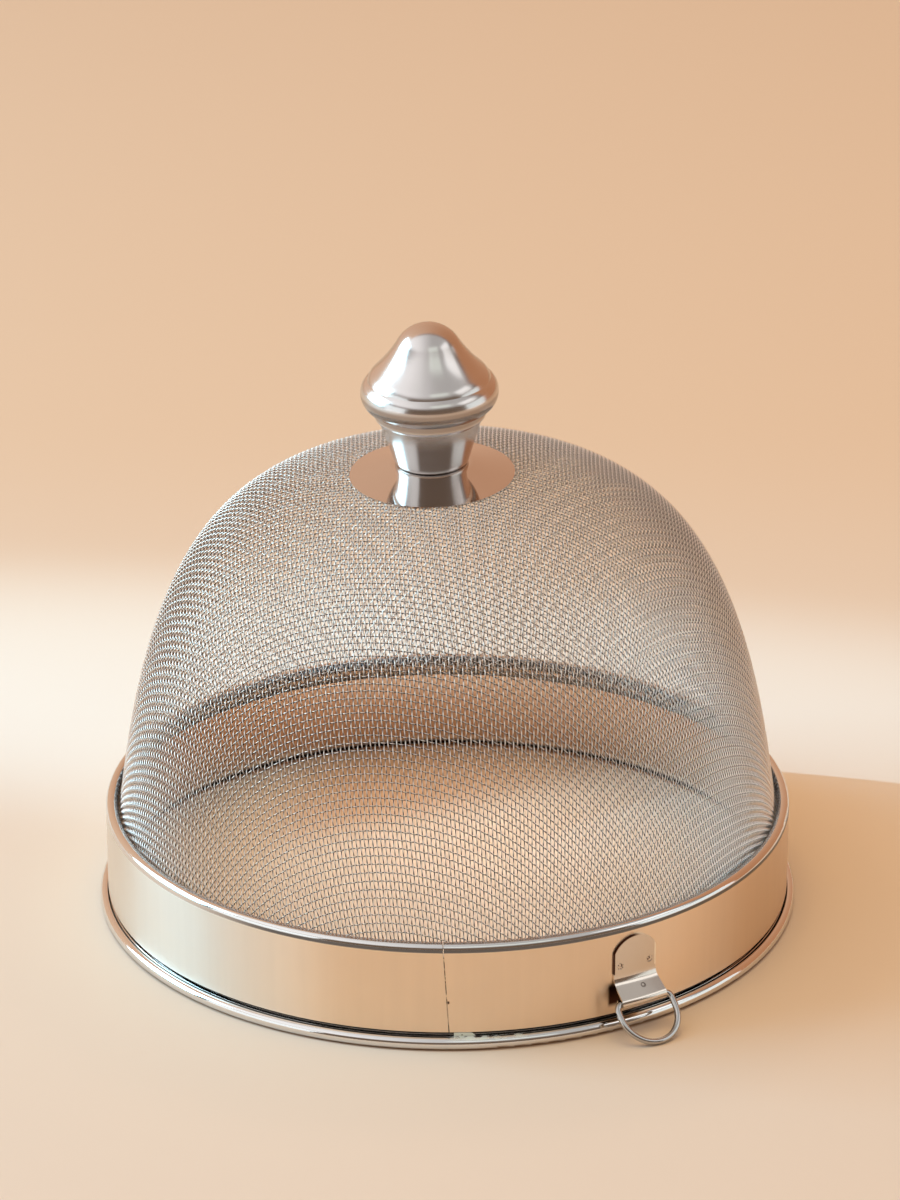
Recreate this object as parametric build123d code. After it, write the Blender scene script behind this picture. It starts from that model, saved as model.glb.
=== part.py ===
"""Dish cover: a dome of woven wire in a rolled-edge hoop, with a pressed knob and a hanging ring.

Millimetres, +Z up. The origin is the middle of the rim, on the table, and the front is towards -Y.
Sections are drawn as (radius, height) and turned about Z. The knob's pieces are made upright, with
their heights counted from the top of the crown, and then set square to the crown where it is fixed.
"""

import os
from math import acos, atan2, cos, degrees, radians, sin, sqrt

from build123d import *

# Hoop: an outer band and an inner hoop of thin strip, with the mesh's skirt clamped between them
SHEET = 0.5
WALL_R = 128.0
BAND_TOP = 40.6
BAND_BOTTOM = 6.2
HOOP_TOP = 31.5
BEAD_R = 2.4
BEAD_TURN = 300
FOOT_FLAT = 0.15

# Butt seam of the band: it leans, is split through the bead and has come open at the bottom
SEAM_X_TOP = -1.6
SEAM_X_BOTTOM = 0.6
SEAM_OPEN_TOP = 18.0
SEAM_GAP = 0.3
SEAM_NOTCH = 1.1
SEAM_SCORE = 0.12

# Tab at the front, where the end of the lower bead's roll stands up: flat on top, then falling to the right
TAB_LEFT = 2.3
TAB_FLAT = 5.6
TAB_FALL = 3.6
TAB_TOP = 6.0
TAB_HOLE_X = 5.2
TAB_HOLE_Z = 5.2
TAB_HOLE_R = 0.3

# Mesh: a shell as thick as the woven cloth. A coarse grid stands for the weave, and leaves about as
# much of the cloth open as the fine wires do.
CLOTH = 0.8
CROWN_TOP = 173.9
CROWN_R = 200.0
CROWN_EDGE_R = 44.0
SHOULDER_REACH = 41.8
FOOT_R = 122.5
FOOT_Z = 36.5
FOOT_LEAN = 6.8
FOOT_REACH = 98.3
SKIRT_BEND_R = 2.5
SKIRT_BOTTOM = 8.0
OPENINGS_ACROSS = 12
OPENING_REACH = 203.0
STRAND = 7.6

# Hanger clip, its place in degrees round from the front
CLIP_AZIMUTH = 31.3
CLIP_T = 0.7
CLIP_WIDTH = 17.6
TONGUE_TOP = 35.8
TONGUE_SHOULDER = 30.0
SHELF_SLOPE = 35.0
SHELF_BEND_R = 4.85
EYE_R = 133.6
EYE_Z = 12.6
EYE_INNER_R = 1.6
EYE_TURN = 245
WELD_SPREAD = 12.4
WELD_Z = 24.6
WELD_R = 1.1
PUNCH_X = 1.6
PUNCH_R = 0.9
MARK_DEPTH = 0.15

# Ring of round wire, lying out over the bead with its arc on the table
RING_WIRE_R = 1.15
RING_WIDTH = 22.7
RING_DEPTH = 16.85
RING_CORNER_R = 2.8

# Knob: a cup and a bell of thin sheet, crimped together at the brim, on a shallow conical disc
KNOB_X = -5.6
KNOB_Y = -9.0
KNOB_SHEET = 0.6
DISC_R = 30.0
DISC_RISE = 4.6
DISC_FLAT_R = 14.0
DISC_BEND_R = 8.0
CUP_FLOOR_R = 13.0
CUP_CORNER_R = 1.6
CUP_LIP_R = 18.6
CUP_LIP_H = 18.0
COLLAR_R = 20.0
COLLAR_BOTTOM_H = 19.0
COLLAR_TOP_H = 23.2
COLLAR_BEND_R = 0.6
FLANGE_R = 21.3
BRIM_R = 25.0
BRIM_H = 27.8
BRIM_FOOT_R = 22.2
BRIM_TOP_R = 22.3
BRIM_TOP_H = 33.0
BELL_LIP_R = 20.1
BELL_LIP_H = 36.2
BELL_TOP_R = 13.0
BELL_FLANK = 31.0
KNOB_H = 53.7

# Fastening of the knob: an M4 screw from inside the dome, into a nut on the floor of the cup.
# The shank is as thick as the thread's middle, and the wires close round it.
SCREW_R = 1.8
CLOTH_HOLE_R = 1.9
SCREW_HOLE_R = 2.15
SCREW_HEAD_R = 4.0
SCREW_HEAD_H = 2.6
SCREW_PAST_NUT = 2.0
CROSS_LENGTH = 4.4
CROSS_WIDTH = 0.9
CROSS_DEPTH = 1.5
NUT_FLATS = 7.0
NUT_H = 3.2
NUT_PLAY = 0.03
WASHER_R = 3.8
WASHER_T = 1.0
WASHER_GAP = 0.8
PLATE_R = 26.0
PLATE_T = 0.8
SEAT_PLAY = 0.02

# Sizes of the blocks that cut: one passes through any sheet or bead, the other is wider than the hoop
THROUGH = 12.0
TABLE = 300.0

ABOVE = (Align.CENTER, Align.CENTER, Align.MIN)
BELOW = (Align.CENTER, Align.CENTER, Align.MAX)


def turned(*edges):
    """The closed section that the edges bound, turned about Z."""
    return revolve(Plane.XZ * make_face(Curve() + list(edges)), Axis.Z)


def strip(path, thickness, arc=360.0):
    """Sheet that follows the middle line of its section, turned about Z from the section's plane."""
    return revolve(Plane.XZ * trace(path, thickness), Axis.Z, revolution_arc=arc)


def from_front(azimuth):
    """The turn about Z from the section's plane to an azimuth, in degrees from the front."""
    return Rot(0, 0, azimuth - 90)


def cap_drop(radius, at_r):
    """How far a ball of this radius has fallen below its top, at a distance from its axis."""
    return radius - sqrt(radius**2 - at_r**2)


def rim_band():
    """The outer strip: a plain wall, rolled inwards at the top, with its butt seam at the front."""
    middle_r = WALL_R - SHEET / 2
    bead = Vector(WALL_R - BEAD_R, BAND_TOP - BEAD_R)
    wall = Line((middle_r, BAND_BOTTOM), (middle_r, bead.Y))
    roll = CenterArc(bead, BEAD_R - SHEET / 2, 0, BEAD_TURN)
    band = strip(Curve() + [wall, roll], SHEET)

    wall_h = BAND_TOP - 2 * BEAD_R - BAND_BOTTOM
    open_h = SEAM_OPEN_TOP - BAND_BOTTOM
    lean = (SEAM_X_TOP - SEAM_X_BOTTOM) / (BAND_TOP - BAND_BOTTOM)
    seam = Plane((SEAM_X_BOTTOM, -WALL_R, BAND_BOTTOM), x_dir=(1, 0, -lean), z_dir=(0, -1, 0))
    up = (Align.CENTER, Align.MIN, Align.CENTER)
    cuts = [
        Pos(0, -SHEET, 0) * Box(SEAM_GAP, open_h + SHEET, THROUGH, align=up),
        Pos(SEAM_GAP, open_h, 0) * Box(SEAM_NOTCH, SEAM_NOTCH, THROUGH),
        Box(SEAM_GAP, wall_h, 2 * SEAM_SCORE, align=up),
        Pos(0, wall_h, 0) * Box(SEAM_GAP, THROUGH, THROUGH, align=up),
    ]
    for cut in cuts:
        band -= seam * cut
    return band


def base_hoop():
    """The inner strip: a wall rolled outwards to the bead it stands on, and the tab at its end."""
    middle_r = WALL_R - SHEET - CLOTH - SHEET / 2
    bead = Vector(middle_r - SHEET / 2 + BEAD_R, BEAD_R - FOOT_FLAT)
    wall = Line((middle_r, HOOP_TOP), (middle_r, bead.Y))
    roll = CenterArc(bead, BEAD_R - SHEET / 2, 180, BEAD_TURN)
    hoop = strip(Curve() + [wall, roll], SHEET)
    hoop -= Box(TABLE, TABLE, THROUGH, align=BELOW)

    foot = bead.Y + BEAD_R - SHEET
    shoulder_x = TAB_LEFT + TAB_FLAT
    fall_x = shoulder_x + TAB_FALL / 2
    end_x = shoulder_x + TAB_FALL
    fall = Bezier((shoulder_x, TAB_TOP), (fall_x, TAB_TOP), (fall_x, foot), (end_x, foot))
    sides = Polyline(fall @ 1, (TAB_LEFT, foot), (TAB_LEFT, TAB_TOP), fall @ 0)
    hole = Pos(TAB_HOLE_X, TAB_HOLE_Z) * Circle(TAB_HOLE_R)
    outline = make_face(Curve() + [fall, sides]) - hole
    upright = strip(Line((WALL_R, foot), (WALL_R, TAB_TOP)), SHEET)
    return hoop + (upright & extrude(Plane.XZ * outline, amount=TABLE))


def cloth_line():
    """The cloth's section: a round crown, a shoulder that steepens to the foot, and the skirt."""
    crown_r = CROWN_R - CLOTH / 2
    skirt_r = WALL_R - SHEET - CLOTH / 2
    edge_angle = degrees(acos(CROWN_EDGE_R / crown_r))
    lean = radians(FOOT_LEAN)
    up_wall = Vector(-sin(lean), cos(lean))
    foot = Vector(FOOT_R, FOOT_Z)
    most_lean = degrees(acos((1 + cos(lean) - (skirt_r - FOOT_R) / SKIRT_BEND_R) / 2))

    crown = CenterArc((0, CROWN_TOP - CROWN_R), crown_r, 90, edge_angle - 90)
    shoulder = Bezier(
        crown @ 1, crown @ 1 + crown % 1 * SHOULDER_REACH, foot + up_wall * FOOT_REACH, foot
    )
    under_bead = JernArc(foot, -up_wall, SKIRT_BEND_R, most_lean - FOOT_LEAN)
    into_hoop = JernArc(under_bead @ 1, under_bead % 1, SKIRT_BEND_R, -most_lean)
    skirt = Line(into_hoop @ 1, (skirt_r, SKIRT_BOTTOM))
    return Wire([crown, shoulder, under_bead, into_hoop, skirt])


def on_cloth(line, flat):
    """The point of the dome that a point of the flat cloth comes to.

    It keeps its bearing from the middle, and its distance from there is laid off along the section.
    """
    reach = min(flat.length, OPENING_REACH)
    section = line.position_at(reach, position_mode=PositionMode.LENGTH)
    return flat.normalized() * section.X + Vector(0, 0, section.Y)


def mesh_openings(line):
    """Prisms that cut the openings: a square grid on the flat cloth, from the disc to the hoop."""
    pitch = 2 * OPENING_REACH / OPENINGS_ACROSS
    half = (pitch - STRAND) / 2
    corners = [Vector(-half, -half), Vector(half, -half), Vector(half, half), Vector(-half, half)]
    prisms = []
    for place in GridLocations(pitch, pitch, OPENINGS_ACROSS, OPENINGS_ACROSS):
        middle = place.position
        if not DISC_R < middle.length < OPENING_REACH + half / 2:
            continue
        ends = [on_cloth(line, middle + corner) for corner in corners]
        outwards = (ends[2] - ends[0]).cross(ends[3] - ends[1])
        level = Plane(on_cloth(line, middle), z_dir=outwards)
        outline = Polyline(*[end.project_to_plane(level) for end in ends], close=True)
        prisms.append(extrude(make_face(outline), amount=THROUGH, both=True))
    return prisms


def mesh_dome():
    """The cloth, with its coarse openings and the hole that the knob's screw goes through."""
    line = cloth_line()
    screw_hole = knob_place() * Cylinder(CLOTH_HOLE_R, THROUGH)
    return strip(line, CLOTH) - [*mesh_openings(line), screw_hole]


def hanger_clip():
    """The folded strip: a tongue on the wall, a sloping shelf, and an eye round the ring's bar."""
    tongue_r = WALL_R + CLIP_T / 2
    eye_middle_r = EYE_INNER_R + CLIP_T / 2
    slope = radians(SHELF_SLOPE)
    eye = Vector(EYE_R, EYE_Z)
    shelf_end = eye + Vector(sin(slope), cos(slope)) * eye_middle_r
    shelf_length = (shelf_end.X - tongue_r) / cos(slope)
    corner = shelf_end + Vector(-cos(slope), sin(slope)) * shelf_length
    fold = FilletPolyline((tongue_r, TONGUE_TOP), corner, shelf_end, radius=SHELF_BEND_R)
    curl = CenterArc(eye, eye_middle_r, 90 - SHELF_SLOPE, -EYE_TURN)
    angle = degrees(2 * atan2(CLIP_WIDTH / 2, WALL_R))
    clip = from_front(CLIP_AZIMUTH - angle / 2) * strip(Curve() + [fold, curl], CLIP_T, angle)

    face = clip_plane(WALL_R)
    side = CLIP_WIDTH
    arch = ThreePointArc(
        (-CLIP_WIDTH / 2, TONGUE_SHOULDER), (0, TONGUE_TOP), (CLIP_WIDTH / 2, TONGUE_SHOULDER)
    )
    below_arch = Polyline(
        arch @ 1,
        (side, TONGUE_SHOULDER),
        (side, 0),
        (-side, 0),
        (-side, TONGUE_SHOULDER),
        arch @ 0,
    )
    clip &= face * extrude(make_face(Curve() + [arch, below_arch]), amount=CLIP_WIDTH, both=True)

    weld = Cylinder(WELD_R, 2 * MARK_DEPTH)
    for x in (-WELD_SPREAD / 2, WELD_SPREAD / 2):
        proud = CLIP_T - cap_drop(WALL_R, x)
        clip -= face * Pos(x, WELD_Z, proud) * weld

    shelf_middle = (corner + shelf_end) / 2
    square_to_shelf = Rot(-(90 - SHELF_SLOPE), 0, 0)
    punch = Pos(PUNCH_X, 0, CLIP_T / 2) * Cylinder(PUNCH_R, 2 * MARK_DEPTH)
    return clip - clip_plane(shelf_middle.X) * Pos(0, shelf_middle.Y, 0) * square_to_shelf * punch


def clip_plane(radius):
    """The plane across the clip at a radius: X along the rim to the right, Y up, Z outwards."""
    a = radians(CLIP_AZIMUTH)
    outwards = Vector(sin(a), -cos(a), 0)
    return Plane(outwards * radius, x_dir=(cos(a), sin(a), 0), z_dir=outwards)


def hanging_ring():
    """The ring: a straight bar in the clip's eye and a round bow, leaning out until it meets the table."""
    half = RING_WIDTH / 2
    leg = RING_DEPTH - half
    fall = (EYE_Z - RING_WIRE_R) / RING_DEPTH
    reach = sqrt(1 - fall**2)
    across = clip_plane(EYE_R)
    outwards = across.z_dir * reach + Vector(0, 0, -fall)
    lying = Plane(
        across.origin + Vector(0, 0, EYE_Z), x_dir=across.x_dir, z_dir=across.x_dir.cross(outwards)
    )
    bar = FilletPolyline((half, leg), (half, 0), (-half, 0), (-half, leg), radius=RING_CORNER_R)
    bow = CenterArc((0, leg), half, 0, 180)
    path = Wire(bar.edges() + bow.edges())
    section = Plane((0, leg + half, 0), x_dir=(0, 1, 0), z_dir=(1, 0, 0)) * Circle(RING_WIRE_R)
    return lying * sweep(section, path)


def knob_place():
    """The plane on the crown that the knob stands square to."""
    centre = Vector(0, 0, CROWN_TOP - CROWN_R)
    height = sqrt(CROWN_R**2 - KNOB_X**2 - KNOB_Y**2)
    upright = Vector(KNOB_X, KNOB_Y, height)
    return Plane(centre + upright, x_dir=(height, 0, -KNOB_X), z_dir=upright)


def disc_top():
    """The height of the disc's flat middle, which the cup stands on."""
    return DISC_RISE + KNOB_SHEET + SEAT_PLAY - cap_drop(CROWN_R, DISC_R)


def knob_base_disc():
    """The bright disc: flat in the middle, falling to a rim that sits on the mesh."""
    middle_h = disc_top() - KNOB_SHEET / 2
    path = FilletPolyline(
        (SCREW_HOLE_R, middle_h),
        (DISC_FLAT_R, middle_h),
        (DISC_R, middle_h - DISC_RISE),
        radius=DISC_BEND_R,
    )
    return strip(path, KNOB_SHEET)


def knob_cup():
    """The lower half of the knob: a tapered cup, a step, a short collar, and a flange for the crimp."""
    half_t = KNOB_SHEET / 2
    path = FilletPolyline(
        (SCREW_HOLE_R, half_t),
        (CUP_FLOOR_R, half_t),
        (CUP_LIP_R, CUP_LIP_H),
        (COLLAR_R, COLLAR_BOTTOM_H),
        (COLLAR_R, COLLAR_TOP_H),
        (FLANGE_R, COLLAR_TOP_H),
        radius=(CUP_CORNER_R, COLLAR_BEND_R, COLLAR_BEND_R, COLLAR_BEND_R),
    )
    return Pos(0, 0, disc_top()) * strip(path, KNOB_SHEET)


def knob_cap():
    """The upper half of the knob: a bell with a rounded top, over a brim crimped under the flange."""
    flank = radians(BELL_FLANK)
    flange_under_h = COLLAR_TOP_H - KNOB_SHEET / 2
    foot_h = flange_under_h - KNOB_SHEET
    shoulder = Vector(0, KNOB_H - BELL_TOP_R) + Vector(cos(flank), sin(flank)) * BELL_TOP_R
    crown = CenterArc((0, KNOB_H - BELL_TOP_R), BELL_TOP_R, BELL_FLANK, 90 - BELL_FLANK)
    waist = TangentArc(shoulder, (BELL_LIP_R, BELL_LIP_H), tangent=(sin(flank), -cos(flank)))
    lip = TangentArc(waist @ 1, (BRIM_TOP_R, BRIM_TOP_H), tangent=waist % 1)
    brim = ThreePointArc((BRIM_TOP_R, BRIM_TOP_H), (BRIM_R, BRIM_H), (BRIM_FOOT_R, foot_h))
    base = Polyline(brim @ 1, (0, foot_h), (0, KNOB_H))
    full = turned(crown, waist, lip, brim, *base.edges())
    shell = offset(full, amount=-KNOB_SHEET, openings=full.faces().sort_by(Axis.Z)[0])
    hook_inner_r = COLLAR_R + KNOB_SHEET
    hook = Pos(0, 0, foot_h) * (
        Cylinder(BRIM_FOOT_R, KNOB_SHEET, align=ABOVE) - Cylinder(hook_inner_r, KNOB_SHEET, align=ABOVE)
    )
    return Pos(0, 0, disc_top()) * (shell + hook)


def knob_nut():
    """The nut on the floor of the cup."""
    prism = extrude(RegularPolygon(NUT_FLATS / 2, 6, major_radius=False), amount=NUT_H)
    bore = Cylinder(SCREW_R + NUT_PLAY, NUT_H, align=ABOVE)
    return Pos(0, 0, disc_top() + KNOB_SHEET) * (prism - bore)


def washer_top():
    """The height at which the spring washer's edge meets the hollow side of the clamp plate."""
    plate_under_r = CROWN_R - CLOTH - PLATE_T
    return -CLOTH - PLATE_T - cap_drop(plate_under_r, WASHER_R) - SEAT_PLAY


def spring_washer():
    """The split washer under the screw's head."""
    ring = Cylinder(WASHER_R, WASHER_T, align=BELOW) - Cylinder(SCREW_HOLE_R, WASHER_T, align=BELOW)
    split = Box(2 * WASHER_R, WASHER_GAP, WASHER_T, align=(Align.MIN, Align.CENTER, Align.MAX))
    return Pos(0, 0, washer_top()) * (ring - split)


def fixing_screw():
    """The pan-head screw from inside the dome, with its cross recess."""
    seat = washer_top() - WASHER_T - SEAT_PLAY
    tip = disc_top() + KNOB_SHEET + NUT_H + SCREW_PAST_NUT
    shank = Cylinder(SCREW_R, tip - seat, align=ABOVE)
    shank = chamfer(shank.edges().sort_by(Axis.Z)[-1], SCREW_R / 5)
    head = Cylinder(SCREW_HEAD_R, SCREW_HEAD_H, align=BELOW)
    head = fillet(head.edges().sort_by(Axis.Z)[0], SCREW_HEAD_H / 2)
    recess = Box(CROSS_LENGTH, CROSS_WIDTH, CROSS_DEPTH, align=ABOVE)
    recess += Box(CROSS_WIDTH, CROSS_LENGTH, CROSS_DEPTH, align=ABOVE)
    return Pos(0, 0, seat) * (shank + head - Pos(0, 0, -SCREW_HEAD_H) * recess)


def clamp_plate():
    """The dished plate inside the crown, which follows the mesh."""
    outer = CROWN_R - CLOTH
    ball = Sphere(outer) - Sphere(outer - PLATE_T)
    hole = Cylinder(SCREW_HOLE_R, CROWN_R, align=ABOVE)
    plate = (ball & Cylinder(PLATE_R, CROWN_R, align=ABOVE)) - hole
    return Pos(0, 0, -CROWN_R) * plate


on_knob = knob_place()
pieces = {
    "rim_band": rim_band(),
    "base_hoop": base_hoop(),
    "mesh_dome": mesh_dome(),
    "hanger_clip": hanger_clip(),
    "hanging_ring": hanging_ring(),
    "knob_base_disc": on_knob * knob_base_disc(),
    "knob_cup": on_knob * knob_cup(),
    "knob_cap": on_knob * knob_cap(),
    "knob_nut": on_knob * knob_nut(),
    "spring_washer": on_knob * spring_washer(),
    "fixing_screw": on_knob * fixing_screw(),
    "clamp_plate": on_knob * clamp_plate(),
}

os.makedirs("parts", exist_ok=True)
for name, piece in pieces.items():
    export_step(piece, f"parts/{name}.step")
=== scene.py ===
import math

import bpy
import numpy as np
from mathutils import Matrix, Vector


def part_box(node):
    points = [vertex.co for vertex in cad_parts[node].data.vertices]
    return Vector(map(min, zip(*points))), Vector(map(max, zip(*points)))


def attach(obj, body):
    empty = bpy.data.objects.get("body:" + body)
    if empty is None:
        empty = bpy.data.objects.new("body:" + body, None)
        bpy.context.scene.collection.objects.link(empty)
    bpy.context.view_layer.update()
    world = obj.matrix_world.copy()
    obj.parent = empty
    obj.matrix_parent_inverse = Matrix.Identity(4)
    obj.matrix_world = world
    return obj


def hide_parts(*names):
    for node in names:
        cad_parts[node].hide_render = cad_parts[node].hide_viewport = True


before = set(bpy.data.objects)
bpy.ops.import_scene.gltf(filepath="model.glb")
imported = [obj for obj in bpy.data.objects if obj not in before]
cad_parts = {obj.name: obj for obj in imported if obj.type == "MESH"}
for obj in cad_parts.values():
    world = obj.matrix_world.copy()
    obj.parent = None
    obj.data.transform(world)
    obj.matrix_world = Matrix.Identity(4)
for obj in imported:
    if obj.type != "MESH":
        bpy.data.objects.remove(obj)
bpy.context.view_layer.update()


# Base hoop: the inner strip of the rim, bright stainless sheet rolled outwards into the bead that
# the cover stands on, with the skirt of the mesh clamped between it and the outer band. Its strip is
# tinted brown as a painted reflection of the shaded floor inside, it is painted dark as shade over
# the bead and at its inner foot, and the tab where its roll ends is pale with old flux.
STEEL = (0.78, 0.76, 0.74, 1.0)
STRIP_PAINTED_REFLECTION = (0.6, 0.49, 0.41, 1.0)
STRIP_FOOT = (0.0047, 0.0051)
STRIP_OUTSIDE = (0.1264, 0.1266)
CREVICE_SHADE = (0.02, 0.016, 0.014, 1.0)
CREVICE_TOP = (0.008, 0.009)
CREVICE_START = (-0.11, -0.08)
INNER_FOOT = (0.0022, 0.004)
FRONT = (-0.1, -0.09)
TAB_SIDES = (0.0022, 0.0098)
TAB_BLEND = 0.0002
FLUX = (0.8, 0.84, 0.74, 1.0)
FLUX_OUTSIDE = (0.1272, 0.1276)
FLUX_FOOT = (0.0038, 0.0043)
FLUX_END = 0.03
FLUX_BLEND = 0.003
FLUX_LUMP = 0.004
FLUX_BREAKS = (0.35, 0.65)
FLUX_COVERS = 0.8
SMEAR_SIZE = 0.025
SMEAR_DETAIL = 4.0
SMEAR_SHADE = 0.06
HOOP_ROUGHNESS = (0.06, 0.11)
STRIP_ROUGHNESS = 0.12
CREVICE_ROUGHNESS = 0.3
FLUX_ROUGHNESS = 0.4
ROLLING_TURN = 0.25


class Value:
    """A socket in a material. Sums, differences and products of values add Math nodes."""

    def __init__(self, tree, socket=None):
        self.tree, self.socket = tree, socket

    def node(self, kind, settings=None, sockets=None, output=0):
        """A node of a kind: its settings are set first, then its sockets take values or links."""
        made = self.tree.nodes.new("ShaderNode" + kind)
        for key, setting in (settings or {}).items():
            setattr(made, key, setting)
        for key, given in (sockets or {}).items():
            if isinstance(given, Value):
                self.tree.links.new(given.socket, made.inputs[key])
            else:
                made.inputs[key].default_value = given
        return Value(self.tree, made.outputs[output] if made.outputs else None)

    def math(self, operation, *given):
        return self.node("Math", {"operation": operation}, dict(enumerate(given)))

    def __add__(self, other):
        return self.math("ADD", self, other)

    def __radd__(self, other):
        return self.math("ADD", other, self)

    def __sub__(self, other):
        return self.math("SUBTRACT", self, other)

    def __rsub__(self, other):
        return self.math("SUBTRACT", other, self)

    def __mul__(self, other):
        return self.math("MULTIPLY", self, other)

    def __rmul__(self, other):
        return self.math("MULTIPLY", other, self)

    def __truediv__(self, other):
        return self.math("DIVIDE", self, other)


def new_material(name):
    """An empty material, and a value to add its nodes with."""
    made = bpy.data.materials.new(name)
    made.use_nodes = True
    made.node_tree.nodes.clear()
    return made, Value(made.node_tree)


def axes(start, output="Object"):
    """The three parts of a texture coordinate."""
    where = start.node("TexCoord", output=output)
    parts = start.node("SeparateXYZ", sockets={"Vector": where})
    return [Value(parts.tree, parts.socket.node.outputs[axis]) for axis in "XYZ"]


def length(start, x, y):
    """The length of a vector with two parts."""
    return start.math("SQRT", x * x + y * y)


def noise(start, size, detail=2.0, where=None):
    """Soft noise between 0 and 1, with lumps of a size in metres."""
    where = where or start.node("TexCoord", output="Object")
    return start.node("TexNoise", sockets={"Vector": where, "Scale": 1 / size, "Detail": detail})


def rises(start, value, low, high):
    """A smooth step from 0 at low to 1 at high."""
    return start.node(
        "MapRange",
        {"interpolation_type": "SMOOTHSTEP"},
        {"Value": value, "From Min": low, "From Max": high},
    )


def within(start, value, low, high, soft):
    """1 between low and high, and 0 outside them, with soft edges."""
    past_high = rises(start, value, high - soft, high + soft)
    return rises(start, value, low - soft, low + soft) * (1 - past_high)


def between(share, low, high):
    """A number that goes from low to high as the share goes from 0 to 1."""
    return low + (high - low) * share


def mixed(start, share, first, second):
    """A colour that goes from the first to the second as the share goes from 0 to 1."""
    return start.node("Mix", {"data_type": "RGBA"}, {0: share, 6: first, 7: second}, output=2)


def shaded(start, colour, shade):
    """A colour that is darkened or lightened by a shade."""
    settings = {"data_type": "RGBA", "blend_type": "MULTIPLY"}
    return start.node("Mix", settings, {0: 1.0, 6: colour, 7: shade}, output=2)


def metal(start, tint, roughness, metallic=1.0, relief=None, rolled=0.0):
    """A metal surface. Rolling lines round the axis spread what it mirrors upwards and downwards."""
    sockets = {
        "Base Color": tint,
        "Metallic": metallic,
        "Roughness": roughness,
        "Anisotropic": rolled,
        "Anisotropic Rotation": ROLLING_TURN,
    }
    if relief:
        bump = {"Height": relief, "Distance": 1.0, "Strength": 1.0}
        sockets["Normal"] = start.node("Bump", sockets=bump)
    return start.node("BsdfPrincipled", sockets=sockets)


def dress(node, material):
    """Gives a CAD node its material."""
    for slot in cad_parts[node].material_slots:
        slot.material = material


hoop_steel, start = new_material("hoop_steel")
x, y, z = axes(start)
radius = length(start, x, y)
smear = noise(start, SMEAR_SIZE, SMEAR_DETAIL)
strip = rises(start, z, *STRIP_FOOT)
outside = rises(start, radius, *STRIP_OUTSIDE)
# Painted shade: dark over the bead in the crevice under the band, and at the hoop's inner foot.
over_bead = strip * outside * (1 - rises(start, z, *CREVICE_TOP)) * rises(start, x, *CREVICE_START)
inner_foot = (1 - outside) * (1 - rises(start, z, *INNER_FOOT))
crevice_shade = start.math("MAXIMUM", over_bead, inner_foot)
at_front = 1 - rises(start, y, *FRONT)
on_tab = strip * within(start, x, *TAB_SIDES, TAB_BLEND)
run = within(start, x, TAB_SIDES[0], FLUX_END, FLUX_BLEND) * rises(start, z, *FLUX_FOOT)
run = run * rises(start, noise(start, FLUX_LUMP), *FLUX_BREAKS)
flux = at_front * rises(start, radius, *FLUX_OUTSIDE) * start.math("MAXIMUM", on_tab, run)
tint = shaded(start, STEEL, 1.0 - SMEAR_SHADE * smear)
# Painted reflection: the strip above the bead is tinted brown for the shaded floor it mirrors.
tint = mixed(start, strip, tint, STRIP_PAINTED_REFLECTION)
tint = mixed(start, crevice_shade, tint, CREVICE_SHADE)
tint = mixed(start, flux, tint, FLUX)
roughness = between(smear, *HOOP_ROUGHNESS) + STRIP_ROUGHNESS * strip
roughness = roughness + CREVICE_ROUGHNESS * crevice_shade + FLUX_ROUGHNESS * flux
shader = metal(start, tint, roughness, metallic=1 - FLUX_COVERS * flux)
start.node("OutputMaterial", sockets={"Surface": shader})
dress("base_hoop", hoop_steel)


# Mesh dome: plain-woven cloth of bright steel wire, drawn over a form into a dome. Both sets of
# wires spread and shear as the cloth is drawn down, and its skirt goes down into the rim. The
# wires stop short of the knob's screw.
WIRE_R = 0.0002
WIRE_SIDES = 4
WIRE_END = 0.222
CLOTH = 0.0008
CROWN_R = 0.2
CROWN_EDGE_R = 0.044
CROWN_STEPS = 60
SHOULDER_REACH = 0.0418
SHOULDER_STEPS = 300
FOOT = 0.1225 + 0.0365j
FOOT_LEAN = math.radians(6.8)
FOOT_REACH = 0.0983
SKIRT_BEND_R = 0.0025
SKIRT_BEND_STEPS = 24
KNOB_AT = (-0.0056, -0.009)
SCREW_CLEAR = 0.0026
UNITS_PER_METRE = 10
WARP_TURN = math.radians(-0.6)
WARP_COUNT = (66.3, -7.7, 1.07)
WARP_SHEAR = 0.7
WARP_GRADE = 1.5
WARP_GUESS = 56
WEFT_TURN = math.radians(14.7)
WEFT_COUNT = (51.5, -3.4, 0.26)
WEFT_GRADE = 1.15
WEFT_GUESS = 47
RIM_STEPS = 721
CUT_CORNER = 0.2
WARP_STEEL = (1.0, 0.95, 0.9, 1.0)
WEFT_STEEL = (0.97, 0.91, 0.85, 1.0)
WIRE_PAINTED_SHADE = (0.06, 0.04, 0.03, 1.0)
WIRE_SHADE = (0.95, 1.05)
WIRE_ROUGHNESS = (0.25, 0.35)
PIECES_EACH_WAY = 4
lowest, highest = (np.array(corner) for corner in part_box("mesh_dome"))
crown_top = highest[2]
skirt_r = highest[0] - CLOTH / 2
skirt_bottom = lowest[2]


def bend(start, heading, radius, turn, steps):
    """An arc that leaves start along heading, turns by an angle and ends on a new heading."""
    to_centre = 1j * heading * radius * np.sign(turn)
    arc = start + to_centre - to_centre * np.exp(1j * np.linspace(0, turn, steps))
    return arc, heading * np.exp(1j * turn)


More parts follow.
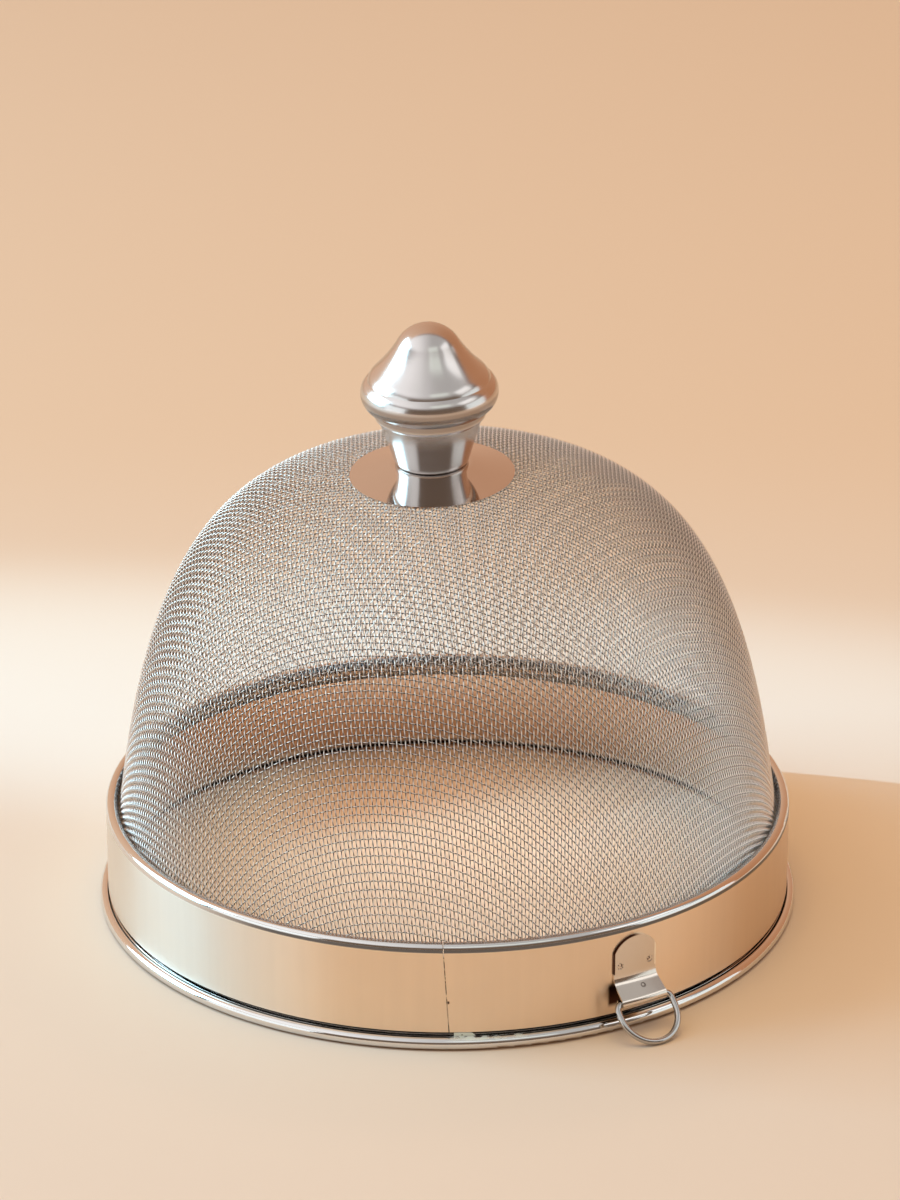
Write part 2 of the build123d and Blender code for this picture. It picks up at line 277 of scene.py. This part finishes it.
def cloth_profile():
    """The cloth's middle line as radius + i height: an arc of the crown's ball, a cubic curve over
    the shoulder to the foot, two small arcs out under the bead, and the straight skirt."""
    ball_r = CROWN_R - CLOTH / 2
    edge_angle = math.asin(CROWN_EDGE_R / ball_r)
    crown, heading = bend(1j * (crown_top - CLOTH / 2), 1 + 0j, ball_r, -edge_angle, CROWN_STEPS)
    up_wall = 1j * np.exp(1j * FOOT_LEAN)
    t = np.linspace(0, 1, SHOULDER_STEPS)
    shoulder = (
        crown[-1] * (1 - t) ** 3
        + 3 * (crown[-1] + heading * SHOULDER_REACH) * t * (1 - t) ** 2
        + 3 * (FOOT + up_wall * FOOT_REACH) * t**2 * (1 - t)
        + FOOT * t**3
    )
    cosine = (1 + math.cos(FOOT_LEAN) - (skirt_r - FOOT.real) / SKIRT_BEND_R) / 2
    most_lean = math.acos(cosine)
    under, heading = bend(FOOT, -up_wall, SKIRT_BEND_R, most_lean - FOOT_LEAN, SKIRT_BEND_STEPS)
    into, _ = bend(under[-1], heading, SKIRT_BEND_R, -most_lean, SKIRT_BEND_STEPS)
    skirt = np.array([skirt_r + 1j * skirt_bottom])
    return np.concatenate([crown, shoulder[1:], under[1:], into[1:], skirt])


def wire_numbers(place):
    """Which warp wire (real part) and which weft wire (imaginary part) passes a place on the cloth.

    The place is radius and bearing on the cloth laid flat, as a complex number in units of 0.1 m.
    Near the crown both sets are even and nearly square, and further out odd powers of the
    radius spread the wires, while a term in the doubled bearing makes one side finer than the other.
    """
    reach = np.abs(place)
    across = place * np.exp(1j * WARP_TURN)
    down = place * np.exp(1j * WEFT_TURN)
    warp = across.imag * (WARP_COUNT[0] + WARP_COUNT[1] * reach**2 + WARP_COUNT[2] * reach**4)
    warp = warp - WARP_SHEAR * (across**3).imag - WARP_GRADE * (across**2).real
    weft = down.real * (WEFT_COUNT[0] + WEFT_COUNT[1] * reach**2 + WEFT_COUNT[2] * reach**4)
    weft = weft + WEFT_GRADE * (down**2).imag
    return warp + 1j * weft


def crossings(numbers, rounds=30, small=1e-5, longest=0.25, limit=3.0):
    """The places on the flat cloth where pairs of numbered wires cross, by Newton's steps."""
    place = numbers.imag / WEFT_GUESS + 1j * numbers.real / WARP_GUESS
    for _ in range(rounds):
        miss = numbers - wire_numbers(place)
        by_x = (wire_numbers(place + small) - wire_numbers(place - small)) / (2 * small)
        by_y = (wire_numbers(place + 1j * small) - wire_numbers(place - 1j * small)) / (2 * small)
        area = by_x.real * by_y.imag - by_x.imag * by_y.real
        step = (miss.real * by_y.imag - miss.imag * by_y.real) / area
        step = step + 1j * (by_x.real * miss.imag - by_x.imag * miss.real) / area
        step = step * np.minimum(1, longest / np.maximum(np.abs(step), small))
        place = place + step
        place = place * np.minimum(1, limit / np.maximum(np.abs(place), small))
    return place


profile = cloth_profile()
along = np.concatenate([[0], np.abs(np.diff(profile)).cumsum()])
headings = np.gradient(profile)
outwards = 1j * headings / np.abs(headings)
flat_end = UNITS_PER_METRE * WIRE_END
rim = wire_numbers(flat_end * np.exp(1j * np.linspace(0, 2 * np.pi, RIM_STEPS)))
warp_no = np.arange(math.ceil(rim.real.min()), math.floor(rim.real.max()) + 1)
weft_no = np.arange(math.ceil(rim.imag.min()), math.floor(rim.imag.max()) + 1)
knot = crossings(warp_no[:, None] + 1j * weft_no[None, :])


def on_dome(place, lift):
    """Points of the dome from places on the flat cloth, lifted along the cloth's normal. The
    radius on the flat cloth becomes the length along the profile, and the bearing is kept."""
    reach = np.abs(place) / UNITS_PER_METRE
    bearing = np.angle(place)
    normal = np.interp(reach, along, outwards.real) + 1j * np.interp(reach, along, outwards.imag)
    section = np.interp(reach, along, profile.real) + 1j * np.interp(reach, along, profile.imag)
    section = section + lift * normal
    sides = np.sin(bearing), -np.cos(bearing)
    points = np.stack([section.real * sides[0], section.real * sides[1], section.imag], -1)
    normals = np.stack([normal.real * sides[0], normal.real * sides[1], normal.imag], -1)
    return points, normals


def unit(vectors, shortest=1e-12):
    """Vectors brought to the length of 1."""
    return vectors / np.maximum(np.linalg.norm(vectors, axis=-1, keepdims=True), shortest)


def unrolled(made, walls, starts, ends, shape):
    """A map of the wires for the bake: each takes a strip, u along it and v round it, and its cut
    ends take a small corner of the same strip."""
    wires, samples = shape
    side = np.arange(WIRE_SIDES)[:, None]
    along_wall = np.array([0.0, 0.0, 1.0, 1.0])
    round_wall = np.array([0.0, 1.0, 1.0, 0.0])
    u = walls[1][:, None, None] + along_wall + 0.0 * side
    v = walls[0][:, None, None] + (side + round_wall) / WIRE_SIDES
    cut_row, cut_column = (np.concatenate([starts[k], ends[k]])[:, None] for k in (0, 1))
    u = np.concatenate([u.ravel(), (cut_column + CUT_CORNER * along_wall).ravel()])
    v = np.concatenate([v.ravel(), (cut_row + CUT_CORNER * round_wall).ravel()])
    chart = made.uv_layers.new(name="OFBake")
    chart.uv.foreach_set("vector", np.stack([u / samples, v / wires], -1).ravel())


def wire_mesh(name, place, over):
    """Wires along the rows of a grid of crossings, as one mesh. Each stays over or under its
    crossing for half the pitch and slopes between, and its section is square, with round shading.
    The attribute "unshaded" is 1 on top, and less underneath and where a wire is under another,
    for painted shade."""
    flat_points, _ = on_dome(place, 0.0)
    clear = np.hypot(*(flat_points[..., :2] - KNOB_AT).T).T > SCREW_CLEAR
    inside = (np.abs(place) < flat_end) & clear
    kept = np.repeat(inside[:, :-1] & inside[:, 1:], 2, axis=1)
    quarter = 0.75 * place[:, :-1] + 0.25 * place[:, 1:]
    three = 0.25 * place[:, :-1] + 0.75 * place[:, 1:]
    line = np.stack([quarter, three], -1).reshape(len(place), -1)
    lift = WIRE_R * np.stack([over[:, :-1], over[:, 1:]], -1).reshape(len(place), -1)
    points, normals = on_dome(line, lift)
    ahead = unit(np.gradient(points, axis=1))
    aside = unit(np.cross(ahead, normals))
    above = np.cross(aside, ahead)
    turn = 2 * np.pi * np.arange(WIRE_SIDES) / WIRE_SIDES
    corner_r = WIRE_R * math.pi / (2 * math.sqrt(2))
    spokes = np.cos(turn)[:, None] * above[..., None, :] + np.sin(turn)[:, None] * aside[..., None, :]
    corners = (points[..., None, :] + corner_r * spokes)[kept]
    first = np.full(kept.shape, -1)
    first[kept] = WIRE_SIDES * np.arange(kept.sum())
    joined = kept[:, :-1] & kept[:, 1:]
    near, far = first[:, :-1][joined][:, None], first[:, 1:][joined][:, None]
    side = np.arange(WIRE_SIDES)
    after = (side + 1) % WIRE_SIDES
    walls = np.stack([near + side, near + after, far + after, far + side], -1)
    starting = kept & ~np.pad(kept, ((0, 0), (1, 0)))[:, :-1]
    ending = kept & ~np.pad(kept, ((0, 0), (0, 1)))[:, 1:]
    starts = first[starting][:, None] + side[::-1]
    ends = first[ending][:, None] + side
    made = bpy.data.meshes.new(name)
    made.from_pydata(corners.reshape(-1, 3), [], np.concatenate([walls.reshape(-1, 4), starts, ends]))
    made.shade_smooth()
    unrolled(made, np.nonzero(joined), np.nonzero(starting), np.nonzero(ending), kept.shape)
    # Painted shade: lower on the wire's underside and where it is tucked under a crossing.
    tucked = np.maximum(-lift[kept, None] / WIRE_R * np.cos(turn), 0) * (np.cos(turn) > 0)
    below = np.maximum(-spokes[..., 2][kept], 0)
    unshaded = made.attributes.new("unshaded", "FLOAT", "POINT")
    unshaded.data.foreach_set("value", ((1 - below) * (1 - tucked)).ravel())
    piece = bpy.data.objects.new(name, made)
    bpy.context.scene.collection.objects.link(piece)
    return piece


def woven_wire(name, colour, metallic, shade_edge):
    """Bright drawn wire, with painted shade on its underside and where it goes under another. The
    painted shade begins where "unshaded" falls below its edge."""
    made, start = new_material(name)
    dull = noise(start, SMEAR_SIZE, SMEAR_DETAIL)
    unshaded = start.node("Attribute", {"attribute_name": "unshaded"}, output="Fac")
    unshaded_share = rises(start, unshaded, shade_edge, 1.0)
    tint = mixed(start, unshaded_share, WIRE_PAINTED_SHADE, shaded(start, colour, between(dull, *WIRE_SHADE)))
    shader = metal(start, tint, between(dull, *WIRE_ROUGHNESS), metallic)
    start.node("OutputMaterial", sockets={"Surface": shader})
    return made


warp_wire = woven_wire("warp_wire", WARP_STEEL, metallic=0.7, shade_edge=0.2)
weft_wire = woven_wire("weft_wire", WEFT_STEEL, metallic=0.92, shade_edge=0.45)
over = 1.0 - 2.0 * ((warp_no[:, None] + weft_no[None, :]) % 2)
for way, place, lift, finish in (("warp", knot, over, warp_wire), ("weft", knot.T, -over.T, weft_wire)):
    shares = np.array_split(np.arange(len(place)), PIECES_EACH_WAY)
    for number, share in enumerate(shares, 1):
        wires = wire_mesh(f"{way}_wires_{number}", place[share], lift[share])
        wires.data.materials.append(finish)
        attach(wires, "cover")
        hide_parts("mesh_dome")


# Rim band: the outer strip of bright stainless sheet, rolled inwards at the top over the foot of
# the mesh. Its wall has faint rolling lines and is warm at the front, paler on the left as a painted
# reflection of the window and darker on the right as painted shade. Its ends meet in a butt seam
# with old grime in it, painted shade darkens the crease under the top bead and the bead's inner
# side, and a dark patch of painted shadow and reflection lies in the hollow beside the clip.
WALL_STEEL = (0.96, 0.75, 0.55, 1.0)
WALL_REFLECTION_LEFT = (0.82, 0.79, 0.73, 1.0)
WALL_SHADE_RIGHT = (0.72, 0.58, 0.45, 1.0)
WALL_TURN_LEFT = (-0.09, -0.03)
WALL_TURN_RIGHT = (0.07, 0.118)
WALL_TOP = (0.0373, 0.0377)
WALL_SMEAR_SHADE = 0.05
WALL_ROUGHNESS = (0.28, 0.33)
WALL_ROLLED = 0.9
STREAK_SIZE = 0.004
STREAK_SQUASH = 0.04
STREAK_SHADE = 0.07
FINE_DETAIL = 3.0
BEAD_OUTSIDE = (0.1272, 0.1274)
BEAD_EDGE = (0.0386, 0.039)
BEAD_ROUGHNESS = (0.07, 0.12)
INNER_BEAD = (0.1238, 0.125)
CREASE_SHADE = (0.16, 0.16, 0.165, 1.0)
CREASE_START = (-0.1, -0.06)
CREASE_ROUGHNESS = 0.2
# Dark colour for the grime in the seam and weld pits, also used for painted shade on the band and clip.
GRIME_AND_SHADE = (0.06, 0.022, 0.012, 1.0)
SEAM_FOOT_X = 0.0006
SEAM_FOOT_Z = 0.0062
SEAM_LEAN = -0.064
SEAM_EDGE = (0.00008, 0.00024)
SEAM_LUMP = 0.0012
SEAM_BREAKS = (0.3, 0.55)
CLIP_BEARING = math.radians(31.3)
HOLLOW_SIDES = (-0.0105, -0.004, 0.0006)
HOLLOW_HEIGHT = (0.0095, 0.0178, 0.0012)


def beside_clip(x, y):
    """How far to the right of the clip's middle a place is."""
    return math.cos(CLIP_BEARING) * x + math.sin(CLIP_BEARING) * y


band_steel, start = new_material("band_steel")
x, y, z = axes(start)
radius = length(start, x, y)
smear = noise(start, SMEAR_SIZE, SMEAR_DETAIL)
squashed = start.node("CombineXYZ", sockets={"X": x, "Y": y, "Z": STREAK_SQUASH * z})
streak = noise(start, STREAK_SIZE, FINE_DETAIL, squashed)
outside = rises(start, radius, *BEAD_OUTSIDE)
wall = 1 - rises(start, z, *WALL_TOP)
# Painted shade: a dark line in the crease under the top bead, fading out on the left.
crease_shade = outside * (1 - wall) * (1 - rises(start, z, *BEAD_EDGE)) * rises(start, x, *CREASE_START)
off_seam = start.math("ABSOLUTE", x - (SEAM_FOOT_X + SEAM_LEAN * (z - SEAM_FOOT_Z)))
at_front = 1 - rises(start, y, *FRONT)
broken = rises(start, noise(start, SEAM_LUMP, FINE_DETAIL), *SEAM_BREAKS)
seam = at_front * broken * (1 - rises(start, off_seam, *SEAM_EDGE))
# Painted shadow and reflection: a dark patch on the wall in the hollow beside the clip.
hollow_shadow = within(start, beside_clip(x, y), *HOLLOW_SIDES) * within(start, z, *HOLLOW_HEIGHT)
# Painted reflection and shade: the wall is paler on the left, mirroring the window, and darker on the
# right.
wall_tint = mixed(start, rises(start, x, *WALL_TURN_LEFT), WALL_REFLECTION_LEFT, WALL_STEEL)
wall_tint = mixed(start, rises(start, x, *WALL_TURN_RIGHT), wall_tint, WALL_SHADE_RIGHT)
wall_shade = 1.0 + STREAK_SHADE * (streak - 0.5) - WALL_SMEAR_SHADE * smear
wall_tint = shaded(start, wall_tint, wall_shade)
wall_tint = mixed(start, start.math("MAXIMUM", seam, at_front * hollow_shadow), wall_tint, GRIME_AND_SHADE)
wall_shader = metal(start, wall_tint, between(smear, *WALL_ROUGHNESS), rolled=WALL_ROLLED)
bead_tint = mixed(start, crease_shade, shaded(start, STEEL, 1.0 - SMEAR_SHADE * smear), CREASE_SHADE)
# Painted shade: the bead's inner side is dark too.
bead_tint = mixed(start, 1 - rises(start, radius, *INNER_BEAD), bead_tint, CREASE_SHADE)
bead_tint = mixed(start, seam, bead_tint, GRIME_AND_SHADE)
bead_shader = metal(start, bead_tint, between(smear, *BEAD_ROUGHNESS) + CREASE_ROUGHNESS * crease_shade)
shader = start.node("MixShader", sockets={0: wall * outside, 1: bead_shader, 2: wall_shader})
start.node("OutputMaterial", sockets={"Surface": shader})
dress("rim_band", band_steel)


# Hanger clip: a short strip of the same sheet, spot-welded to the band and folded out into a shelf
# whose end is curled round the ring's bar. Painted shade lies along the tongue's left edge and arch
# and a painted highlight along its right edge, grime sits in the pits of the welds, and the shelf
# has a round punch mark, drawn as a dark ring.
CLIP_STEEL = (0.76, 0.68, 0.6, 1.0)
CLIP_SMEAR_SIZE = 0.008
CLIP_ROUGHNESS = (0.1, 0.18)
TONGUE_FOOT = (0.0215, 0.022)
TONGUE_EDGE = (0.0082, 0.0085)
RIGHT_EDGE_HIGHLIGHT = 0.5
ARCH_Z = 0.02622
ARCH_EDGE = (0.00898, 0.00928)
ARCH_FOOT = (0.028, 0.03)
ARCH_END = (-0.001, 0.003)
SHELF_SLOPE = math.radians(35.0)
MARK_ASIDE = 0.0016
MARK_Z = 0.0167
MARK_RING = (0.0005, 0.001, 0.0002)
MARK_SHADE = 0.7
WELD_ASIDE = 0.0062
WELD_Z = 0.0246
WELD_SPOT = (0.00068, 0.0017)
PIT_SIZE = 0.0007
PIT_EDGE = (0.5, 0.56)
PIT_ROUGHNESS = 0.3
clip_steel, start = new_material("clip_steel")
x, y, z = axes(start)
aside = beside_clip(x, y)
smear = noise(start, CLIP_SMEAR_SIZE, SMEAR_DETAIL)
tongue = rises(start, z, *TONGUE_FOOT)
# Painted shade along the tongue's left edge and its arch.
left_edge_shade = tongue * rises(start, 0 - aside, *TONGUE_EDGE)
right_edge_highlight = tongue * rises(start, aside, *TONGUE_EDGE)
arch = rises(start, length(start, aside, z - ARCH_Z), *ARCH_EDGE) * rises(start, z, *ARCH_FOOT)
edge_and_arch_shade = start.math("MAXIMUM", left_edge_shade, arch * (1 - rises(start, aside, *ARCH_END)))
from_mark = length(start, aside - MARK_ASIDE, (z - MARK_Z) / math.sin(SHELF_SLOPE))
mark = (1 - tongue) * within(start, from_mark, *MARK_RING)
from_weld = length(start, start.math("ABSOLUTE", aside) - WELD_ASIDE, z - WELD_Z)
pits = tongue * rises(start, noise(start, PIT_SIZE), *PIT_EDGE)
pits = pits * (1 - rises(start, from_weld, *WELD_SPOT))
# Painted highlight: the tongue's right edge is lighter.
tint = shaded(start, CLIP_STEEL, 1.0 - SMEAR_SHADE * smear + RIGHT_EDGE_HIGHLIGHT * right_edge_highlight)
tint = mixed(start, MARK_SHADE * mark, tint, GRIME_AND_SHADE)
tint = mixed(start, start.math("MAXIMUM", edge_and_arch_shade, pits), tint, GRIME_AND_SHADE)
shader = metal(start, tint, between(smear, *CLIP_ROUGHNESS) + PIT_ROUGHNESS * pits)
start.node("OutputMaterial", sockets={"Surface": shader})
dress("hanger_clip", clip_steel)


# Hanging ring: round steel wire bent to a D and butted at its bar, which turns in the eye of the
# clip. The wire is bright, with dull patches from handling.
RING_STEEL = (0.52, 0.5, 0.48, 1.0)
RING_DULL_SIZE = 0.006
RING_SHADE = (0.85, 1.05)
RING_ROUGHNESS = (0.08, 0.18)
ring_steel, start = new_material("ring_steel")
dull = noise(start, RING_DULL_SIZE, SMEAR_DETAIL)
tint = shaded(start, RING_STEEL, between(dull, *RING_SHADE))
shader = metal(start, tint, between(dull, *RING_ROUGHNESS))
start.node("OutputMaterial", sockets={"Surface": shader})
dress("hanging_ring", ring_steel)


# Fastening of the knob: a dished plate inside the crown, a split washer and a cross-head screw, and
# the nut in the cup, all of plain stainless steel.
PLAIN_STEEL = (0.6, 0.59, 0.58, 1.0)
PLAIN_SMEAR_SIZE = 0.006
PLAIN_SHADE = (1.0, 0.85)
PLAIN_ROUGHNESS = (0.22, 0.37)
plain_steel, start = new_material("plain_steel")
smear = noise(start, PLAIN_SMEAR_SIZE, SMEAR_DETAIL)
tint = shaded(start, PLAIN_STEEL, between(smear, *PLAIN_SHADE))
shader = metal(start, tint, between(smear, *PLAIN_ROUGHNESS))
start.node("OutputMaterial", sockets={"Surface": shader})
for node in ("clamp_plate", "spring_washer", "fixing_screw", "knob_nut"):
    dress(node, plain_steel)


# Knob: a bright conical disc on the mesh, a tapered cup on it and a bell crimped over the cup's
# flange, each pressed or spun from thin sheet and buffed on a lathe, the disc the brightest. Painted
# shade darkens the steel under the bell's brim.
KNOB_LEAN = (-0.028, -0.045)
KNOB_FOOT = 0.17
KNOB_STEEL = (0.7, 0.66, 0.64, 1.0)
UNDER_BRIM_SHADE = (0.4, 0.35, 0.32, 1.0)
UNDER_BRIM = (0.0261, 0.0347, 0.0007)
BUFF_LINE = 0.0006
BUFF_BUMP = 0.000004
BUFF_LEAST = 0.8
BUFF_SMEARS = 0.3
BUFF_LINES = 0.2


def buffed_steel(name, roughness):
    """Steel with fine buffing lines round the knob's leaning axis and a few dull smears."""
    made, start = new_material(name)
    x, y, z = axes(start)
    x = x - KNOB_AT[0] - KNOB_LEAN[0] * (z - KNOB_FOOT)
    y = y - KNOB_AT[1] - KNOB_LEAN[1] * (z - KNOB_FOOT)
    turning = start.node("CombineXYZ", sockets={"X": length(start, x, y), "Y": z})
    smear = noise(start, SMEAR_SIZE, SMEAR_DETAIL)
    buff = noise(start, BUFF_LINE, where=turning)
    height = z - KNOB_FOOT + KNOB_LEAN[0] * x + KNOB_LEAN[1] * y
    tint = shaded(start, KNOB_STEEL, 1.0 - SMEAR_SHADE * smear)
    # Painted shade under the bell's brim.
    tint = mixed(start, within(start, height, *UNDER_BRIM), tint, UNDER_BRIM_SHADE)
    roughness = roughness * (BUFF_LEAST + BUFF_SMEARS * smear + BUFF_LINES * buff)
    shader = metal(start, tint, roughness, relief=BUFF_BUMP * buff)
    start.node("OutputMaterial", sockets={"Surface": shader})
    return made


dress("knob_base_disc", buffed_steel("disc_steel", roughness=0.07))
dress("knob_cup", buffed_steel("cup_steel", roughness=0.2))
dress("knob_cap", buffed_steel("cap_steel", roughness=0.19))


# Table: a wide sheet of pale peach paper, painted a little deeper in colour towards the back as
# painted shade. A painted contact shadow darkens it in a thin line under the bead, and a warm
# painted shade lies on it inside the rim, behind.
TABLE_R = 8.0
TABLE_SIDES = 64
PAPER_FRONT = (0.82, 0.65, 0.49, 1.0)
PAPER_BACK_SHADE = (0.8, 0.56, 0.36, 1.0)
PAPER_TURN = (0.1, 0.5)
PAPER_ROUGHNESS = 0.8
UNDER_BEAD = (0.1265, 0.1303)
CONTACT_SHADE = (0.5, 0.27, 0.14, 1.0)
CONTACT_BLEND = 0.001
COVER_SHADE = (0.8, 0.6, 0.45, 1.0)
COVER_SHADE_SIDE = (-0.09, -0.03)
COVER_SHADE_SLANT = 0.5
COVER_SHADE_EDGE = (0.05, 0.09)
bearing = 2 * np.pi * np.arange(TABLE_SIDES) / TABLE_SIDES
rim_points = TABLE_R * np.stack([np.cos(bearing), np.sin(bearing), 0 * bearing], -1)
table_mesh = bpy.data.meshes.new("paper_table")
table_mesh.from_pydata(rim_points, [], [np.arange(TABLE_SIDES)])
table = bpy.data.objects.new("paper_table", table_mesh)
bpy.context.scene.collection.objects.link(table)
paper, start = new_material("paper")
x, y, _ = axes(start)
radius = length(start, x, y)
# Painted shade: the paper is deeper in colour towards the back.
tint = mixed(start, rises(start, y, *PAPER_TURN), PAPER_FRONT, PAPER_BACK_SHADE)
tint = mixed(start, within(start, radius, *UNDER_BEAD, CONTACT_BLEND), tint, CONTACT_SHADE)
covered = (1 - rises(start, radius, *UNDER_BEAD)) * rises(start, x, *COVER_SHADE_SIDE)
covered = covered * rises(start, y - COVER_SHADE_SLANT * x, *COVER_SHADE_EDGE)
tint = mixed(start, covered, tint, shaded(start, tint, COVER_SHADE))
shader = start.node("BsdfPrincipled", sockets={"Base Color": tint, "Roughness": PAPER_ROUGHNESS})
start.node("OutputMaterial", sockets={"Surface": shader})
table_mesh.materials.append(paper)


# Light: a room with a warm wall behind the cover and a ceiling in front, dim low down. Panels are
# what the metal mirrors, and other lamps light the paper: one from the window, a warm one above, a
# narrow beam across it behind the cover, and a small one inside the dome.
ROOM_LOW = (0.18, 0.125, 0.09, 1.0)
ROOM_LIGHT = 1.0
CEILING_LEFT = (1.2, 1.19, 1.2, 1.0)
CEILING_RIGHT = (0.56, 0.55, 0.54, 1.0)
CEILING_TURN = (-0.75, 0.3)
CEILING_FOOT = (0.42, 0.62)
WALL_LEFT = (0.88, 0.6, 0.42, 1.0)
WALL_RIGHT = (0.56, 0.25, 0.12, 1.0)
WALL_TURN = (-1.0, 1.0)
WALL_EDGE = (0.17, 0.25)
GAP_SHADE = (0.12, 0.06, 0.035, 1.0)
GAP_SIDES = (0.16, 0.21, 0.02)
GAP_START = (-0.6, -0.3)
LAMP_REACH = 2.6
LAMP_AIM = (0.0, 0.0, 0.15)
# A panel's name, its bearing, rise, width and height in degrees, its radiance and its colour.
MIRRORED_PANELS = (
    ("window", -101, 20, 36, 36, 6.8, (0.45, 0.8, 1.0)),
    ("pale_wall_left", -60, 11, 38, 30, 1.2, (0.85, 0.95, 1.0)),
    ("pale_wall_right", 82, 11, 40, 30, 1.0, (0.85, 0.97, 1.0)),
    ("small_window", 21, 46, 28, 14, 0.45, (0.85, 1.0, 0.9)),
    ("far_window", 74, 38, 28, 18, 0.8, (0.97, 0.99, 1.0)),
)
LIGHTING_PANELS = (
    ("window_light", -93, 27, 30, 24, 14.5, (0.23, 0.6, 1.0)),
    ("warm_light", 0, 90, 40, 40, 1.87, (1.0, 0.67, 0.2)),
)
SPOT_R = 0.02
# A spot's name, its bearing, rise and cone in degrees, its watts and colour, its aim and its reach.
LIGHTING_SPOTS = (
    ("beam", -102, 16, 4.6, 1350.0, (0.27, 0.62, 1.0), (0.0, 0.16, 0.0), 4.0),
    ("inside_light", 180, 70, 116.0, 0.55, (1.0, 0.84, 0.7), (0.01, 0.0, 0.0), 0.155),
)


def place_lamp(lamp, bearing, rise, aim, reach):
    """Puts a lamp at a bearing from the front, a rise and a reach, turned to its aim."""
    made = bpy.data.objects.new(lamp.name, lamp)
    turn, lift = math.radians(bearing), math.radians(rise)
    level = reach * math.cos(lift)
    made.location = (
        aim[0] + level * math.sin(turn),
        aim[1] - level * math.cos(turn),
        aim[2] + reach * math.sin(lift),
    )
    made.rotation_euler = (math.pi / 2 - lift, 0.0, turn)
    made.visible_camera = False
    bpy.context.scene.collection.objects.link(made)
    return made


def panel(name, bearing, rise, wide, tall, radiance, colour):
    """A bright rectangle that faces the cover, as many degrees wide and tall as it shows from there."""
    lamp = bpy.data.lights.new(name, "AREA")
    lamp.shape = "RECTANGLE"
    lamp.size = 2 * LAMP_REACH * math.tan(math.radians(wide) / 2)
    lamp.size_y = 2 * LAMP_REACH * math.tan(math.radians(tall) / 2)
    lamp.energy = radiance * math.pi * lamp.size * lamp.size_y
    lamp.color = colour
    return place_lamp(lamp, bearing, rise, LAMP_AIM, LAMP_REACH)


def spot(name, bearing, rise, cone, watts, colour, aim, reach):
    """A small round lamp whose cone fades to its edge."""
    lamp = bpy.data.lights.new(name, "SPOT")
    lamp.energy, lamp.color = watts, colour
    lamp.spot_size, lamp.spot_blend, lamp.shadow_soft_size = math.radians(cone), 1.0, SPOT_R
    return place_lamp(lamp, bearing, rise, aim, reach)


for given in MIRRORED_PANELS:
    panel(*given).visible_diffuse = False
for given in LIGHTING_PANELS:
    panel(*given).visible_glossy = False
for given in LIGHTING_SPOTS:
    spot(*given).visible_glossy = False
world = bpy.data.worlds.new("room")
bpy.context.scene.world = world
world.use_nodes = True
world.node_tree.nodes.clear()
start = Value(world.node_tree)
x, y, z = axes(start, "Generated")
ceiling = mixed(start, rises(start, x, *CEILING_TURN), CEILING_LEFT, CEILING_RIGHT)
front = mixed(start, rises(start, z, *CEILING_FOOT), ROOM_LOW, ceiling)
behind = mixed(start, rises(start, x, *WALL_TURN), WALL_LEFT, WALL_RIGHT)
sky = mixed(start, rises(start, y, *WALL_EDGE), front, behind)
gap = within(start, y, *GAP_SIDES) * rises(start, x, *GAP_START)
sky = mixed(start, gap, sky, GAP_SHADE)
shader = start.node("Background", sockets={"Color": sky, "Strength": ROOM_LIGHT})
start.node("OutputWorld", sockets={"Surface": shader})


# Camera: the photograph's view, a long lens from the front and a little above, fitted to the
# hoop's two beads, the disc and the knob's brim.
LENS_MM = 146.33
SENSOR_MM = 36.0
CAMERA_REACH = 1.8
CAMERA_RISE = math.radians(23.18)
AIM = (0.00093, 0.0, 0.11787)
view = bpy.data.cameras.new("camera")
view.sensor_fit, view.sensor_height, view.lens = "VERTICAL", SENSOR_MM, LENS_MM
camera = bpy.data.objects.new("camera", view)
camera.location = (
    AIM[0],
    AIM[1] - CAMERA_REACH * math.cos(CAMERA_RISE),
    AIM[2] + CAMERA_REACH * math.sin(CAMERA_RISE),
)
camera.rotation_euler = (math.pi / 2 - CAMERA_RISE, 0.0, 0.0)
bpy.context.scene.collection.objects.link(camera)
bpy.context.scene.camera = camera
bpy.context.scene.view_settings.view_transform = "Standard"
